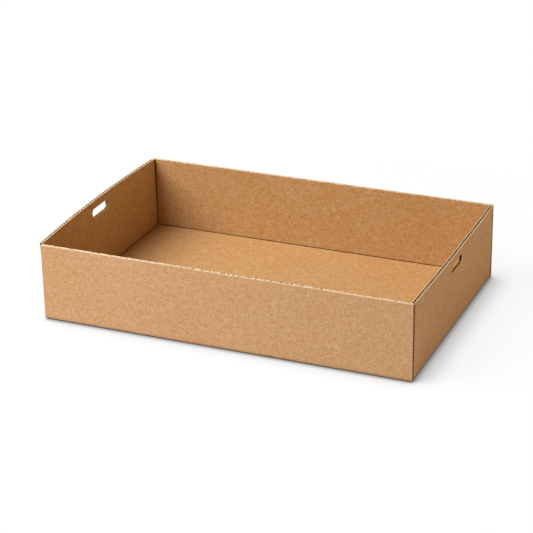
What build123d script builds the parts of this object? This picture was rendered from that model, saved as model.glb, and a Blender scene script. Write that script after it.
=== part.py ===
"""Open tray folded from one die-cut sheet of single-wall corrugated board.

The origin is at the centre of the underside. X runs along the long walls, Y from front to back, Z up.
The flutes of the board run along X in the flat sheet, so they stand upright in the two end panels
and lie level in the two long walls. Millimetres.
"""

from build123d import *
import os
from math import hypot

# Outside size of the folded tray
length = 600.0
width = 400.0
height = 125.0

# Board: a fluted paper between two liners
board = 5.0
liner = 0.6
fluting = 0.5
flute_pitch = 7.6
flute_tip = 1.4  # flat of the fluted paper where it is glued to a liner
cut_edge = 2.0  # board pressed shut along the rim of a long wall

# Folds
fold_inside = 0.8  # inside radius of a fold
crease_radius = 1.1  # groove pressed along the inside of a fold

# Slit cut at each corner, between the edge of an end panel and the long wall beside it
corner_slit = 3.0

# Each end panel has sprung outwards: how far its rim stands out at the front, halfway and at the back
left_rim = (4.6, 10.6, 1.7)
right_rim = (0.3, 2.7, 0.6)

# Hand hole in each end panel
hole_length = 54.0
hole_height = 15.0
hole_drop = 12.5  # from the rim to the top of the hole
left_hole = 5.0  # how far the hole lies behind the middle of its panel
right_hole = 0.0

# Places worked out from the sizes above
end = length / 2
fold_outside = fold_inside + board
wall_face = width / 2 - board  # inner face of a long wall
panel_face = end - board  # inner face of an end panel
panel_reach = wall_face - corner_slit  # half the length of an end panel
panel_foot = fold_outside + fold_inside  # where an end panel starts, above its fold
hole_centre = height - hole_drop - hole_height / 2

# Hollow between the fluted paper and a liner: widest at that liner, narrowest at the far tip
flute_rise = board - 2 * liner - fluting
web_run = flute_pitch / 2 - flute_tip
web_width = fluting * hypot(web_run, flute_rise) / flute_rise
hollow_foot = flute_tip + web_run * fluting / flute_rise - web_width
hollow_mouth = hollow_foot + 2 * web_run


def end_panel_plan(side, level, rim=None):
    """An end panel from above, one board thick: straight, or bowed out along its rim."""
    with BuildSketch(Plane((0, 0, level), x_dir=(side, 0, 0))) as plan:
        with BuildLine():
            if rim:
                first, middle, last = rim[::side]
                ThreePointArc((end + first, -panel_reach), (end + middle, 0), (end + last, panel_reach))
            else:
                Line((end, -panel_reach), (end, panel_reach))
            offset(amount=board, side=Side.LEFT)
        make_face()
    return plan.sketch


def stand_out(across, side, rim):
    """How far a rim stands out, at a distance across from its middle."""
    first, middle, last = rim[::side]
    part = across / panel_reach
    return middle + (last - first) / 2 * part + ((first + last) / 2 - middle) * part**2


def hollows(first, last):
    """Corners of each hollow between two places along the board, as pairs of place and depth."""
    count = int((last - first) / flute_pitch * 2) - 1
    start = (first + last) / 2 - (count - 1) * flute_pitch / 4
    for step in range(count):
        middle = start + step * flute_pitch / 2
        mouth = board - liner
        foot = mouth - flute_rise
        if step % 2:
            mouth = liner
            foot = mouth + flute_rise
        yield [
            (middle - hollow_mouth / 2, mouth),
            (middle + hollow_mouth / 2, mouth),
            (middle + hollow_foot / 2, foot),
            (middle - hollow_foot / 2, foot),
        ]


def panel_hollows(side, rim):
    """The hollows of an end panel, each running straight up from the fold to the rim."""
    solids = []
    for corners in hollows(-panel_reach, panel_reach):
        with BuildSketch(Plane((0, 0, panel_foot), x_dir=(side, 0, 0))) as plan:
            Polygon(*[(end - depth, along) for along, depth in corners], align=None)
        middle = sum(along for along, depth in corners) / len(corners)
        rise = Vector(side * stand_out(middle, side, rim), 0, height - panel_foot)
        solids.append(extrude(plan.sketch, amount=rise.length, dir=rise, mode=Mode.PRIVATE))
    return solids


with BuildPart() as tray:
    # Base and both long walls: one section of board, folded up along the long edges
    with BuildSketch(Plane.YZ.offset(-end)):
        with BuildLine():
            FilletPolyline(
                (-width / 2, height),
                (-width / 2, 0),
                (width / 2, 0),
                (width / 2, height),
                radius=fold_outside,
            )
            offset(amount=board, side=Side.LEFT)
        make_face()

        # Level flutes of the long walls, open at the walls' ends
        for corners in hollows(fold_outside, height - cut_edge):
            for side in (1, -1):
                section = [(side * (width / 2 - depth), along) for along, depth in corners]
                Polygon(*section, align=None, mode=Mode.SUBTRACT)
    extrude(amount=length)

    # Base cut back between the long walls, to where the end panels fold up
    with BuildSketch():
        with GridLocations(length - fold_outside, 0, 2, 1):
            Rectangle(fold_outside, 2 * wall_face)
    extrude(amount=fold_outside, mode=Mode.SUBTRACT)

    for side, rim in ((1, right_rim), (-1, left_rim)):
        # Fold that turns the base up into the end panel
        with BuildSketch(Plane((0, 0, 0), x_dir=(side, 0, 0), z_dir=(0, -side, 0))):
            with BuildLine():
                FilletPolyline(
                    (end - 2 * fold_outside, 0),
                    (end, 0),
                    (end, panel_foot),
                    radius=fold_outside,
                )
                offset(amount=board, side=Side.LEFT)
            make_face()
        extrude(amount=panel_reach, both=True)

        # End panel: straight along the fold, bowed along the rim
        loft([end_panel_plan(side, panel_foot), end_panel_plan(side, height, rim)], ruled=True)

    # Creases along the inside of the folds
    with BuildSketch(Plane.YZ):
        with GridLocations(2 * wall_face, 0, 2, 1):
            with Locations((0, board)):
                Circle(crease_radius)
    extrude(amount=end, both=True, mode=Mode.SUBTRACT)
    with BuildSketch(Plane.XZ):
        with GridLocations(2 * panel_face, 0, 2, 1):
            with Locations((0, board)):
                Circle(crease_radius)
    extrude(amount=panel_reach, both=True, mode=Mode.SUBTRACT)

    # Hand hole through each end panel
    for side, hole_place in ((1, right_hole), (-1, left_hole)):
        with BuildSketch(Plane.YZ):
            with Locations((hole_place, hole_centre)):
                SlotOverall(hole_length, hole_height)
        extrude(amount=side * length, mode=Mode.SUBTRACT)

    # Upright flutes of the end panels, open at the rim and at the hand holes
    for side, rim in ((1, right_rim), (-1, left_rim)):
        add(panel_hollows(side, rim), mode=Mode.SUBTRACT)

tray.part.label = "tray"
os.makedirs("parts", exist_ok=True)
export_step(tray.part, "parts/tray.step")
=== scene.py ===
import math
import random
from functools import partial

import bmesh
import bpy
from mathutils import Matrix, Vector, geometry, noise


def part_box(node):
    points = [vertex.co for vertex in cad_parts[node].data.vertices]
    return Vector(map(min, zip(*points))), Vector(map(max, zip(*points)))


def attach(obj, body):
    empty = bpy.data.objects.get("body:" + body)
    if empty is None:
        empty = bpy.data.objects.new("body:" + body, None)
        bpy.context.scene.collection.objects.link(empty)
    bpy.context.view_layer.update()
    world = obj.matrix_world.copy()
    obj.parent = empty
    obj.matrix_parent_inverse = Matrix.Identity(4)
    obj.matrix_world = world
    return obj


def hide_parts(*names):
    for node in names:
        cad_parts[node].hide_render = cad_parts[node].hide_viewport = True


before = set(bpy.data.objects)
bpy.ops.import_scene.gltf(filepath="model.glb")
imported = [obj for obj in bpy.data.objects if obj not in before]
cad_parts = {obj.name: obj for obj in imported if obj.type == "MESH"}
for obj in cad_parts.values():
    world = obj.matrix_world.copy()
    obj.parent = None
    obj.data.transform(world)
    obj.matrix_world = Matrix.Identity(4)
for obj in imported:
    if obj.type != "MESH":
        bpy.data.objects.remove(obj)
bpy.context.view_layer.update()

# The tray's lengths are in millimetres until a mesh is made. Lamps and floor are placed in metres.
MM = 0.001
tray_low, tray_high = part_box("tray")
length = 600.0
width = (tray_high.y - tray_low.y) / MM
height = tray_high.z / MM

# How far the rim of each end panel (left -1, right 1) stands out at the front, halfway and at the back
rims = {-1: (4.6, 10.6, 1.7), 1: (0.3, 2.7, 0.6)}

# Board: a fluted paper between two liners
board = 5.0
liner = 0.7
core = 0.5
core_swing = (board - 2 * liner - core) / 2
flute_pitch = 7.6
crush = 4.0  # above 1, the fluted paper lies longer against one liner
closing = {-1: 2.4, 1: 1.0}  # thicker fluted paper, which nearly shuts the flutes of the left panel
pressed = 1.2  # height of the pressed rim of a long wall
core_drop = 0.1  # from the rim of an end panel down to the fluted paper
core_gap = 0.6  # from the pressed rim of a long wall down to the fluted paper

# Folds and corner slits
fold_inside = 0.8
fold_outside = fold_inside + board
crease_radius = 1.1
corner_slit = 1.4

# Hand holes
hole_length = 54.0
hole_height = 15.0
hole_drop = 12.5
hole_places = {-1: 5.0, 1: 0.0}  # how far each hole lies behind the middle of its panel
hole_recess = 1.8  # the fluted paper is torn back this far from the ends of a hole
hole_radius = hole_height / 2
hole_straight = hole_length / 2 - hole_radius
hole_centre = height - hole_drop - hole_radius

# Places worked out from the sizes above
end = length / 2
panel_foot = fold_outside + fold_inside
panel_reach = width / 2 - board - corner_slit
base_reach = end - fold_outside
wall_foot = fold_outside + 3.0  # lowest level of a long wall's own grid

# Slow unevenness of the sheet, which dies out towards folds and corners
wave_height = 0.45
wave_across = 95.0
wave_along = 70.0
wave_seeds = {"base": 7, "wall": 3, "panel": 11}
short_ease = 25.0
long_ease = 30.0

# Cut rim of a long wall: depth below the outer face, and drop below the rim's top
rim_profile = (
    (0.15, 2.4), (0.05, 1.1), (0.0, 0.5), (0.2, 0.12), (0.6, 0.0), (1.7, 0.25), (2.5, 0.35),
    (3.3, 0.25), (4.4, 0.0), (4.8, 0.12), (5.0, 0.5), (4.95, 1.1), (4.85, 2.4),
)
rim_flank = 2  # faces on each side of the profile that are like the wall below
rim_middle = 6  # where the profile is frayed, its faces from here on are like the wall below too
fray_run = 4.5  # rough length of a frayed spot
fray_slice = 0.5  # where the noise is cut for it
fray_from = 0.08  # the rim is frayed where the noise is above this
lump_height = 0.12
lump_run = 7.0  # rough length of a lump
lump_turn = 0.4  # change of the lumps from one place of the profile to the next
lump_free = 2  # places at each end of the profile that have no lumps
pit_band = (6, 7, 8)  # profile places that drop away in a pit, with the faces after each painted dark as the shade in the pit
pit_depth = 1.3
pit_half = (0.45, 1.1)  # least and most half length of a pit
pit_spacing = (3.0, 19.0)  # least and most distance from one pit to the next

# Fineness of the meshes
grid = 6.0
fold_steps = 9
core_step = flute_pitch / 20
core_run = 40.0
hole_steps = 18
hole_rows = 5  # rows of fluted paper below a hand hole
hole_clear = 2.5  # least distance from a hand hole to a place of the grid
hole_slack = 0.005  # a triangle this far inside the hole's edge still counts as outside
rim_step = 0.8
rim_margin = 0.5  # an edge face this close to the top counts as rim
same_digits = 2  # places that agree to this many digits are one corner
same_place = 1e-6
sharp_from = math.radians(35)


def spread(first, last, step):
    """Places from first to last, about one step apart."""
    count = max(1, round((last - first) / step))
    return [first + (last - first) * i / count for i in range(count + 1)]


def fade(value, over):
    """From 0 at an edge to 1 at a distance over from it."""
    t = min(1.0, max(0.0, value / over))
    return t * t * (3 - 2 * t)


def waviness(across, along, seed):
    """Slow unevenness of a sheet that has been pressed and folded."""
    return wave_height * noise.noise(Vector((across / wave_across, along / wave_along, seed)))


def bulge(side, y, z):
    """How far an end panel stands out at a place: not at its fold, and most at its rim."""
    front, middle, back = rims[side]
    part = y / panel_reach
    rim = middle + (back - front) / 2 * part + ((front + back) / 2 - middle) * part**2
    return rim * (z - panel_foot) / (height - panel_foot)


def wall_point(side, x, z, depth):
    """A place in the front (-1) or back (1) wall, at a depth below its outer face."""
    ease = fade(z - fold_outside, short_ease) * fade(end - abs(x), long_ease)
    wave = ease * waviness(x, z, wave_seeds["wall"] * side)
    return Vector((x, side * (width / 2 - depth + wave), z))


def base_point(x, y, depth):
    """A place in the base, at a depth above its underside."""
    ease = fade(base_reach - abs(x), short_ease) * fade(panel_reach - abs(y), short_ease)
    return Vector((x, y, depth + ease * abs(waviness(x, y, wave_seeds["base"]))))


def panel_point(side, y, z, depth):
    """A place in the left (-1) or right (1) end panel, at a depth below its outer face."""
    ease = fade(panel_reach - abs(y), long_ease) * fade(z - panel_foot, long_ease)
    wave = ease * waviness(y, z, wave_seeds["panel"] * side)
    return Vector((side * (end + bulge(side, y, z) - depth + wave), y, z))


def fold_offset(step, depth):
    """A place in a fold: inwards from its second face, and up from its first face.

    The inner face runs three quarters round a groove, and the outer face a quarter round the fold.
    """
    turn = step / fold_steps
    if depth > board / 2:
        radius = crease_radius + board - depth
        angle = math.radians(270) * turn
        return board + radius * math.cos(angle), board - radius * math.sin(angle)
    radius = fold_outside - depth
    angle = math.radians(90) * turn
    return fold_outside - radius * math.sin(angle), fold_outside - radius * math.cos(angle)


def long_fold_point(side, x, step, depth):
    """A place in the fold along the front (-1) or back (1) wall."""
    inwards, up = fold_offset(step, depth)
    return Vector((x, side * (width / 2 - inwards), up))


def end_fold_point(side, y, step, depth):
    """A place in the fold along the left (-1) or right (1) end panel."""
    inwards, up = fold_offset(step, depth)
    return Vector((side * (end - inwards), y, up))


def core_depth(place, layer, lean):
    """Depth of the fluted paper's middle (layer 0) or of a face of it (layer -1 or 1).

    It stays between the liners, and lies longer against the outer one (lean 1) or the inner one (lean -1).
    """
    angle = 2 * math.pi * place / flute_pitch
    crest = (1 + math.cos(angle)) / 2
    slope = 2 * core_swing * crush * crest ** (crush - 1) * math.sin(angle) * math.pi / flute_pitch
    middle = board / 2 + lean * core_swing * (2 * crest**crush - 1)
    depth = middle + layer * core / 2 * math.hypot(1, slope)
    return min(max(depth, liner), board - liner)


def core_wall_point(side, x, z, layer):
    """A place of the fluted paper in a long wall."""
    return wall_point(side, x, z, core_depth(z, layer, 1))


def core_base_point(x, y, layer):
    """A place of the fluted paper in the base."""
    return base_point(x, y, core_depth(y, layer, 1))


def core_panel_point(side, y, z, layer):
    """A place of the fluted paper in an end panel."""
    return panel_point(side, y, z, core_depth(y, layer * closing[side], side))


class Sheet:
    """A paper: places that each give their point for a layer, and the faces between them, by kind."""

    def __init__(self):
        self.index = {}
        self.places = []
        self.faces = {"flat": [], "crease": [], "slit": []}

    def corner(self, where):
        """Number of a place, new or met before."""
        key = tuple(round(v, same_digits) for v in where(0))
        if key not in self.index:
            self.index[key] = len(self.places)
            self.places.append(where)
        return self.index[key]

    def strip(self, rows, kind="flat"):
        """Faces between rows of places."""
        for below, above in zip(rows, rows[1:]):
            for c in range(len(below) - 1):
                corners = (below[c], below[c + 1], above[c + 1], above[c])
                self.faces[kind].append([self.corner(where) for where in corners])

    def build(self, name, first, second, finishes):
        """Make a closed thin solid between two layers.

        The finishes are for its kinds of face, its back, its edges on a rim and its other edges.
        """
        count = len(self.places)
        points = [where(first) for where in self.places] + [where(second) for where in self.places]
        groups = list(self.faces.values())
        faces = sum(groups, [])
        backs = [[count + i for i in reversed(face)] for face in faces]
        edges = {}
        for face in faces:
            for a, b in zip(face, face[1:] + face[:1]):
                key = min(a, b), max(a, b)
                if edges.pop(key, None) is None:
                    edges[key] = [b, a, count + a, count + b]
        rim_edges, cut_edges = [], []
        for face in edges.values():
            on_rim = all(points[i].z > height - rim_margin for i in face)
            (rim_edges if on_rim else cut_edges).append(face)
        make_piece(name, points, groups + [backs, rim_edges, cut_edges], finishes)


def make_piece(name, points, face_groups, finishes):
    """Make a piece of the tray from points in millimetres, with a finish for each group of faces."""
    mesh = bpy.data.meshes.new(name)
    mesh.from_pydata([point * MM for point in points], [], sum(face_groups, []))
    kinds = []
    for kind, (faces, finish) in enumerate(zip(face_groups, finishes)):
        mesh.materials.append(finish)
        kinds += [kind] * len(faces)
    mesh.polygons.foreach_set("material_index", kinds)
    work = bmesh.new()
    work.from_mesh(mesh)
    bmesh.ops.recalc_face_normals(work, faces=work.faces)
    work.to_mesh(mesh)
    work.free()
    mesh.polygons.foreach_set("use_smooth", [True] * len(mesh.polygons))
    mesh.set_sharp_from_angle(angle=sharp_from)
    piece = bpy.data.objects.new(name, mesh)
    bpy.context.scene.collection.objects.link(piece)
    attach(piece, "root")
    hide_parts("tray")


def hole_half(side, y):
    """Half the height of an end panel's hand hole at a place across it."""
    beyond = max(0.0, abs(y - hole_places[side]) - hole_straight)
    return math.sqrt(max(0.0, hole_radius**2 - beyond**2))


def hole_distance(side, y, z):
    """How far a place on an end panel is outside its hand hole."""
    beyond = max(0.0, abs(y - hole_places[side]) - hole_straight)
    return math.hypot(beyond, z - hole_centre) - hole_radius


def add_panel(sheet, side, ys, levels):
    """Add an end panel's flat with its hand hole."""
    flat = [Vector((y, z)) for z in levels for y in ys if hole_distance(side, y, z) > hole_clear]
    first = len(flat)
    for hand in (1, -1):
        for i in range(hole_steps + 1):
            angle = math.pi * (i / hole_steps - 0.5)
            y = hole_places[side] + hand * (hole_straight + hole_radius * math.cos(angle))
            flat.append(Vector((y, hole_centre + hand * hole_radius * math.sin(angle))))
    loop = list(range(first, len(flat)))
    edges = list(zip(loop, loop[1:] + loop[:1]))
    whole_outline = 0
    points, _, triangles, *_ = geometry.delaunay_2d_cdt(flat, edges, [], whole_outline, same_place)
    for triangle in triangles:
        middle = sum((points[i] for i in triangle), Vector((0, 0))) / 3
        if hole_distance(side, *middle) > -hole_slack:
            places = [partial(panel_point, side, *points[i]) for i in triangle]
            sheet.faces["flat"].append([sheet.corner(where) for where in places])


def liner_sheet():
    """The whole folded sheet: base, long walls and end panels, joined at their folds."""
    sheet = Sheet()
    xs = [-end] + spread(-base_reach, base_reach, grid) + [end]
    ys = spread(-panel_reach, panel_reach, grid)
    wall_levels = spread(wall_foot, height - pressed, grid)
    steps = range(fold_steps + 1)

    # Base, up to the folds on its long sides
    inner_xs = xs[1:-1]
    rows = [[partial(base_point, x, y) for x in inner_xs] for y in ys]
    rows.insert(0, [partial(long_fold_point, -1, x, 0) for x in inner_xs])
    rows.append([partial(long_fold_point, 1, x, 0) for x in inner_xs])
    sheet.strip(rows)

    # Long walls and their folds; the last bit at each end lies in the slit beside an end panel, where the
    # inner liner is painted dark as the shade of the slit
    for side in (1, -1):
        sheet.strip([[partial(long_fold_point, side, x, step) for x in xs] for step in steps], "crease")
        rows = [[partial(wall_point, side, x, z) for x in xs] for z in wall_levels]
        rows.insert(0, [partial(long_fold_point, side, x, fold_steps) for x in xs])
        sheet.strip([row[1:-1] for row in rows])
        sheet.strip([row[:2] for row in rows], "slit")
        sheet.strip([row[-2:] for row in rows], "slit")

    # Folds that turn the base up into the end panels, and the panels
    for side in (1, -1):
        fold_rows = [[partial(end_fold_point, side, y, step) for y in ys] for step in steps]
        sheet.strip(fold_rows, "crease")
        sheet.strip([fold_rows[-1], [partial(panel_point, side, y, panel_foot) for y in ys]])
        add_panel(sheet, side, ys, spread(panel_foot, height, grid))
    return sheet


def core_sheet():
    """The fluted paper: level flutes in the long walls and the base, upright ones in the end panels."""
    sheet = Sheet()
    xs = spread(-end, end, core_run)
    levels = spread(wall_foot, height - pressed - core_gap, core_step)
    for side in (1, -1):
        sheet.strip([[partial(core_wall_point, side, x, z) for x in xs] for z in levels])
    xs = spread(-base_reach, base_reach, core_run)
    ys = spread(-panel_reach, panel_reach, core_step)
    sheet.strip([[partial(core_base_point, x, y) for x in xs] for y in ys])

    # End panels: beside the hand hole, then below and above it, up to its edge
    top = height - core_drop
    levels = spread(panel_foot, top, core_run)
    for side in (1, -1):
        hole_first = hole_places[side] - hole_length / 2 - hole_recess
        hole_last = hole_places[side] + hole_length / 2 + hole_recess
        for first, last in ((-panel_reach, hole_first), (hole_last, panel_reach)):
            ys = spread(first, last, core_step)
            sheet.strip([[partial(core_panel_point, side, y, z) for y in ys] for z in levels])

        ys = spread(hole_first + core_step, hole_last - core_step, core_step)
        lips = [hole_half(side, y) for y in ys]
        feet = [panel_foot] * len(ys)
        tops = [top] * len(ys)
        hole_bottoms = [hole_centre - lip for lip in lips]
        hole_tops = [hole_centre + lip for lip in lips]
        for lower, upper, count in ((feet, hole_bottoms, hole_rows), (hole_tops, tops, 1)):
            rows = []
            for i in range(count + 1):
                places = [(y, a + i / count * (b - a)) for y, a, b in zip(ys, lower, upper)]
                rows.append([partial(core_panel_point, side, y, z) for y, z in places])
            sheet.strip(rows)
    return sheet


def pit_places(first, last, seed):
    """The middle and the half length of each pit of a rim, between two places."""
    dice = random.Random(seed)
    pits = []
    place = first
    while place < last:
        pits.append((place, dice.uniform(*pit_half)))
        place += dice.uniform(*pit_spacing)
    return pits


def rim_piece(name, side, pitted, seed, finishes):
    """Make the pressed rim of a long wall: lumpy, frayed here and there, and pitted between two places."""
    pits = pit_places(*pitted, seed)
    points = []
    top, pit, outer, inner = [], [], [], []
    ring = len(rim_profile)
    for i, x in enumerate(spread(-end, end, rim_step)):
        in_pit = any(abs(x - at) < half for at, half in pits)
        frayed = noise.noise(Vector((x / fray_run, fray_slice, seed))) > fray_from
        for k, (depth, drop) in enumerate(rim_profile):
            lump = 0.0
            if lump_free <= k < ring - lump_free:
                lump = lump_height * noise.noise(Vector((x / lump_run, k * lump_turn, seed)))
            sink = pit_depth if in_pit and k in pit_band else 0.0
            points.append(wall_point(side, x, height - max(0.0, drop + lump) - sink, depth))
        if i == 0:
            continue
        here = i * ring
        before = here - ring
        for k in range(ring):
            after = (k + 1) % ring
            face = [before + k, here + k, here + after, before + after]
            if in_pit and k in pit_band:
                pit.append(face)
            elif k < rim_flank:
                outer.append(face)
            elif k > ring - 2 - rim_flank or (frayed and k >= rim_middle):
                inner.append(face)
            else:
                top.append(face)
    top.append(list(range(ring)))
    top.append([len(points) - 1 - k for k in range(ring)])
    make_piece(name, points, [top, pit, outer, inner], finishes)


class Nodes:
    """A node tree, cleared, with short ways to add and join nodes."""

    def __init__(self, owner):
        owner.use_nodes = True
        self.tree = owner.node_tree
        self.tree.nodes.clear()

    def add(self, kind, inputs=None, **settings):
        """A node with its settings, its inputs joined to sockets or given values."""
        node = self.tree.nodes.new("ShaderNode" + kind)
        for name, value in settings.items():
            setattr(node, name, value)
        for name, value in (inputs or {}).items():
            if isinstance(value, bpy.types.NodeSocket):
                self.tree.links.new(value, node.inputs[name])
            else:
                node.inputs[name].default_value = value
        return node

    def math(self, operation, first, second, third=0.0):
        """The result of a calculation."""
        return self.add("Math", {0: first, 1: second, 2: third}, operation=operation).outputs[0]

    def ramp(self, value, start, stop, low=0.0, high=1.0):
        """From low where the value is at start to high where it is at stop."""
        return self.add("MapRange", {0: value, 1: start, 2: stop, 3: low, 4: high}).outputs[0]

    def mix(self, part, first, second):
        """A shader between two others."""
        return self.add("MixShader", {0: part, 1: first, 2: second}).outputs[0]


def grey(level):
    """A grey as red, green, blue and alpha."""
    return (level, level, level, 1)


def paper(name, dark, light, roughness, bump):
    """Kraft paper: a fine fibre mottle over slower clouds of shade, with scattered darker specks."""
    rough_spread = 0.08
    material = bpy.data.materials.new(name)
    nodes = Nodes(material)
    place = nodes.add("TexCoord").outputs["Object"]

    def cloud(scale, distortion=0.0, stretch=(1, 1, 1)):
        where = nodes.add("Mapping", {"Vector": place, "Scale": stretch}).outputs[0]
        settings = {"Vector": where, "Scale": scale, "Detail": 2, "Distortion": distortion}
        return nodes.add("TexNoise", settings).outputs["Fac"]

    fine = cloud(scale=430, distortion=1.2)
    fibre = cloud(scale=260, distortion=1.0, stretch=(0.5, 1, 1))
    middling = cloud(scale=110)
    slow = cloud(scale=9)
    shade = -1.25  # centres the sum of the clouds on 0.5
    for layer, share in ((fine, 2.2), (fibre, 0.7), (middling, 0.4), (slow, 0.2)):
        shade = nodes.math("MULTIPLY_ADD", layer, share, shade)
    away = nodes.add("TexVoronoi", {"Vector": place, "Scale": 170, "Randomness": 1}).outputs["Distance"]
    speck = nodes.ramp(away, start=0.1, stop=0.2, low=-0.25, high=0.0)
    shade = nodes.math("ADD", shade, speck)
    colour = nodes.add("Mix", {0: shade, 6: (*dark, 1), 7: (*light, 1)}, data_type="RGBA").outputs[2]
    rough = nodes.ramp(fine, 0.0, 1.0, roughness - rough_spread, roughness + rough_spread)
    normal = nodes.add("Bump", {"Strength": bump, "Distance": 0.0003, "Height": fine}).outputs[0]
    shader = nodes.add(
        "BsdfPrincipled",
        {"Base Color": colour, "Roughness": rough, "Normal": normal, "Specular IOR Level": 0.2},
    )
    nodes.add("OutputMaterial", {"Surface": shader.outputs[0]})
    return material


def seen_directly(nodes):
    """1 for rays that show a thing to the camera, in a mirror or through glass."""
    rays = nodes.add("LightPath").outputs
    seen = nodes.math("MAXIMUM", rays["Is Camera Ray"], rays["Is Glossy Ray"])
    return nodes.math("MAXIMUM", seen, rays["Is Transmission Ray"])


def floor_finish():
    """White to the camera apart from the shadow, and a plain grey board to other light."""
    towards_key = {"X": -0.5, "Y": -0.08, "Z": 0.85}
    shadow_reach = 0.048
    shadow_curve = 1.7
    shadow_depth = 0.875
    contact_reach = 0.009
    clear_glow = 0.9
    lit_share = 0.09  # of the lamps' light, added to the glow
    bounce_share = 0.6  # of the light that falls on the board, given back to the tray
    white_from, white_at = 0.42, 0.75  # from the middle of the tray

    material = bpy.data.materials.new("floor")
    nodes = Nodes(material)

    # Shadow where the tray stands near and on the key's side, and a darker line where it touches the floor
    normal = nodes.add("CombineXYZ", towards_key).outputs[0]
    beside = nodes.add("AmbientOcclusion", {"Distance": shadow_reach, "Normal": normal}, samples=12)
    shade = nodes.math("SUBTRACT", 1.0, beside.outputs["AO"])
    shade = nodes.math("POWER", shade, shadow_curve)
    brightness = nodes.math("MULTIPLY_ADD", shade, -shadow_depth, clear_glow)
    brightness = nodes.math("MAXIMUM", brightness, 0.0)
    contact = nodes.add("AmbientOcclusion", {"Distance": contact_reach}, samples=12)
    brightness = nodes.math("MULTIPLY", brightness, contact.outputs["AO"])
    glow = nodes.add("Emission", {"Color": grey(1), "Strength": brightness}).outputs[0]
    lit = nodes.add("BsdfDiffuse", {"Color": grey(lit_share)}).outputs[0]
    near = nodes.add("AddShader", {0: glow, 1: lit}).outputs[0]

    # Plain white further off
    place = nodes.add("TexCoord").outputs["Object"]
    away = nodes.add("VectorMath", {0: place}, operation="LENGTH").outputs["Value"]
    white = nodes.add("Emission", {"Color": grey(1), "Strength": 1.0}).outputs[0]
    shown = nodes.mix(nodes.ramp(away, white_from, white_at), near, white)

    bounce = nodes.add("BsdfDiffuse", {"Color": grey(bounce_share)}).outputs[0]
    nodes.add("OutputMaterial", {"Surface": nodes.mix(seen_directly(nodes), bounce, shown)})
    return material


def add_floor(half, level):
    """Add a square floor, just below the tray."""
    corners = [(-half, -half), (half, -half), (half, half), (-half, half)]
    mesh = bpy.data.meshes.new("floor")
    mesh.from_pydata([(x, y, level) for x, y in corners], [], [(0, 1, 2, 3)])
    mesh.materials.append(floor_finish())
    floor = bpy.data.objects.new("floor", mesh)
    bpy.context.scene.collection.objects.link(floor)


def add_surround(colour, strength):
    """Add an even surround that lights the tray and is white to the camera."""
    world = bpy.data.worlds.new("world")
    bpy.context.scene.world = world
    nodes = Nodes(world)
    surround = nodes.add("Background", {"Color": (*colour, 1), "Strength": strength}).outputs[0]
    backdrop = nodes.add("Background", {"Color": grey(1), "Strength": 1.0}).outputs[0]
    nodes.add("OutputWorld", {"Surface": nodes.mix(seen_directly(nodes), surround, backdrop)})


def add_lamp(name, place, size, power, colour):
    """Add a soft lamp, as wide and as tall as its size says, that points at the middle of the tray."""
    data = bpy.data.lights.new(name, "AREA")
    data.shape = "ELLIPSE"
    data.size, data.size_y = size
    data.energy = power
    data.color = colour
    lamp = bpy.data.objects.new(name, data)
    tray_middle = Vector((0, 0, 0.06))
    lamp.location = place
    lamp.rotation_mode = "QUATERNION"
    lamp.rotation_quaternion = (Vector(place) - tray_middle).to_track_quat("Z", "Y")
    bpy.context.scene.collection.objects.link(lamp)


def add_camera():
    """Add the camera, fitted to the outline in the photo."""
    image_side = 533.0
    focal_pixels = 1881.925
    azimuth = math.radians(23.0138)
    elevation = math.radians(24.111)
    roll = math.radians(-0.943)
    shift_right, shift_up, distance = -10.042, 48.197, 2988.828  # millimetres

    level = Vector((math.cos(azimuth), math.sin(azimuth), 0))
    ahead = Vector((-math.sin(azimuth), math.cos(azimuth), 0))
    back = Vector((0, 0, math.sin(elevation))) - ahead * math.cos(elevation)
    upright = back.cross(level)
    right = level * math.cos(roll) + upright * math.sin(roll)
    up = upright * math.cos(roll) - level * math.sin(roll)
    turn = Matrix((right, up, back)).transposed().to_4x4()
    turn.translation = (right * shift_right + up * shift_up + back * distance) * MM

    data = bpy.data.cameras.new("camera")
    data.sensor_width = 36.0
    data.lens = focal_pixels / image_side * data.sensor_width
    data.clip_start = 0.1
    data.clip_end = 100.0
    camera = bpy.data.objects.new("camera", data)
    camera.matrix_world = turn
    bpy.context.scene.collection.objects.link(camera)
    bpy.context.scene.camera = camera


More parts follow.
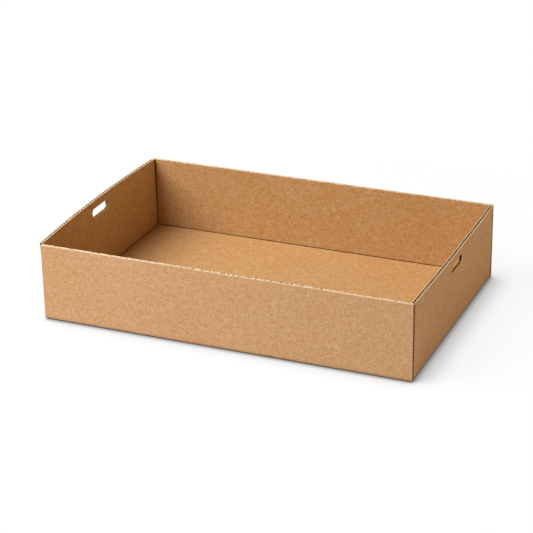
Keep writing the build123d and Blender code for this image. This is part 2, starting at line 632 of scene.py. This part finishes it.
# Papers: a dark and a light shade, the roughness, and the strength of the bumps
kraft = paper("kraft_paper", (0.472, 0.223, 0.063), (0.598, 0.418, 0.268), 0.8, 0.35)
# The inner paper is darker and deeper in colour than the outer one: partly the inner liner's own colour,
# partly painted shade of the tray's inside.
inner_kraft_and_shade = paper("inner_kraft_paper", (0.405, 0.166, 0.03), (0.55, 0.376, 0.2), 0.8, 0.35)
# The crease paper is painted dark, as the shade in the grooves of the inner liner's folds.
crease_painted_shade = paper("crease_painted_shade", (0.14, 0.065, 0.025), (0.25, 0.125, 0.055), 0.9, 0.2)
# The slit paper is painted dark, as the shade deep in the slit between an end panel and a long wall.
slit_painted_shade = paper("slit_painted_shade", (0.05, 0.025, 0.012), (0.1, 0.05, 0.025), 0.9, 0.2)
# The liners' backs are painted dark, as the shade inside the flutes.
liner_back_painted_shade = paper("liner_back_painted_shade", (0.05, 0.02, 0.006), (0.1, 0.04, 0.013), 0.9, 0.2)
rim_edge = paper("rim_edge", (0.7, 0.52, 0.33), (0.83, 0.69, 0.5), 0.85, 0.5)
cut_edge = paper("cut_edge", (0.34, 0.17, 0.06), (0.46, 0.25, 0.095), 0.85, 0.5)
rim_paper = paper("rim_paper", (0.49, 0.37, 0.246), (0.71, 0.605, 0.467), 0.85, 0.5)
# The fluted paper is painted dark, as the shade inside the flutes; its cut edges keep a light paper.
core_painted_shade = paper("fluted_paper", (0.05, 0.02, 0.006), (0.1, 0.04, 0.013), 0.85, 0.35)
core_edge = paper("fluted_paper_edge", (0.52, 0.36, 0.21), (0.78, 0.6, 0.41), 0.85, 0.35)
# The pit paper is painted dark, as the shade in the pits of a rim.
pit_painted_shade = paper("pit_painted_shade", (0.06, 0.035, 0.018), (0.13, 0.075, 0.038), 0.9, 0.3)

# The tray: two liners, the fluted paper between them, and the pressed rims of the long walls
folded = liner_sheet()
# A liner's back, which faces the fluted paper, is painted dark as the shade in the flutes.
edge_finishes = [liner_back_painted_shade, rim_edge, cut_edge]
folded.build("outer_liner", 0, liner, [kraft, kraft, kraft, *edge_finishes])
# Inner liner: its crease faces are painted dark, as the shade in the fold grooves.
folded.build("inner_liner", board, board - liner, [inner_kraft_and_shade, crease_painted_shade, slit_painted_shade, *edge_finishes])
# The fluted paper's faces are painted dark, as the shade in the flutes.
core_sheet().build("fluted_core", -1, 1, [core_painted_shade] * 4 + [core_edge, cut_edge])
# A rim's pits are painted dark, as their shade.
rim_finishes = [rim_paper, pit_painted_shade, kraft, inner_kraft_and_shade]
rim_piece("front_rim", side=-1, pitted=(-45, 160), seed=19, finishes=rim_finishes)
rim_piece("back_rim", side=1, pitted=(180, 240), seed=21, finishes=rim_finishes)

# White floor, dim warm surround, a broad key from the upper left of the front, a weak fill from the right
add_floor(half=12.0, level=-0.0003)
add_surround(colour=(1, 0.72, 0.36), strength=0.285)
add_lamp("key", place=(-1.7, -1.25, 2.35), size=(2.6, 2.6), power=162.0, colour=(1.0, 1.0, 1.0))
add_lamp("fill", place=(1.7, 0.25, 0.28), size=(0.9, 0.25), power=5.2, colour=(1.0, 0.82, 0.66))
add_camera()
bpy.context.scene.view_settings.view_transform = "Standard"
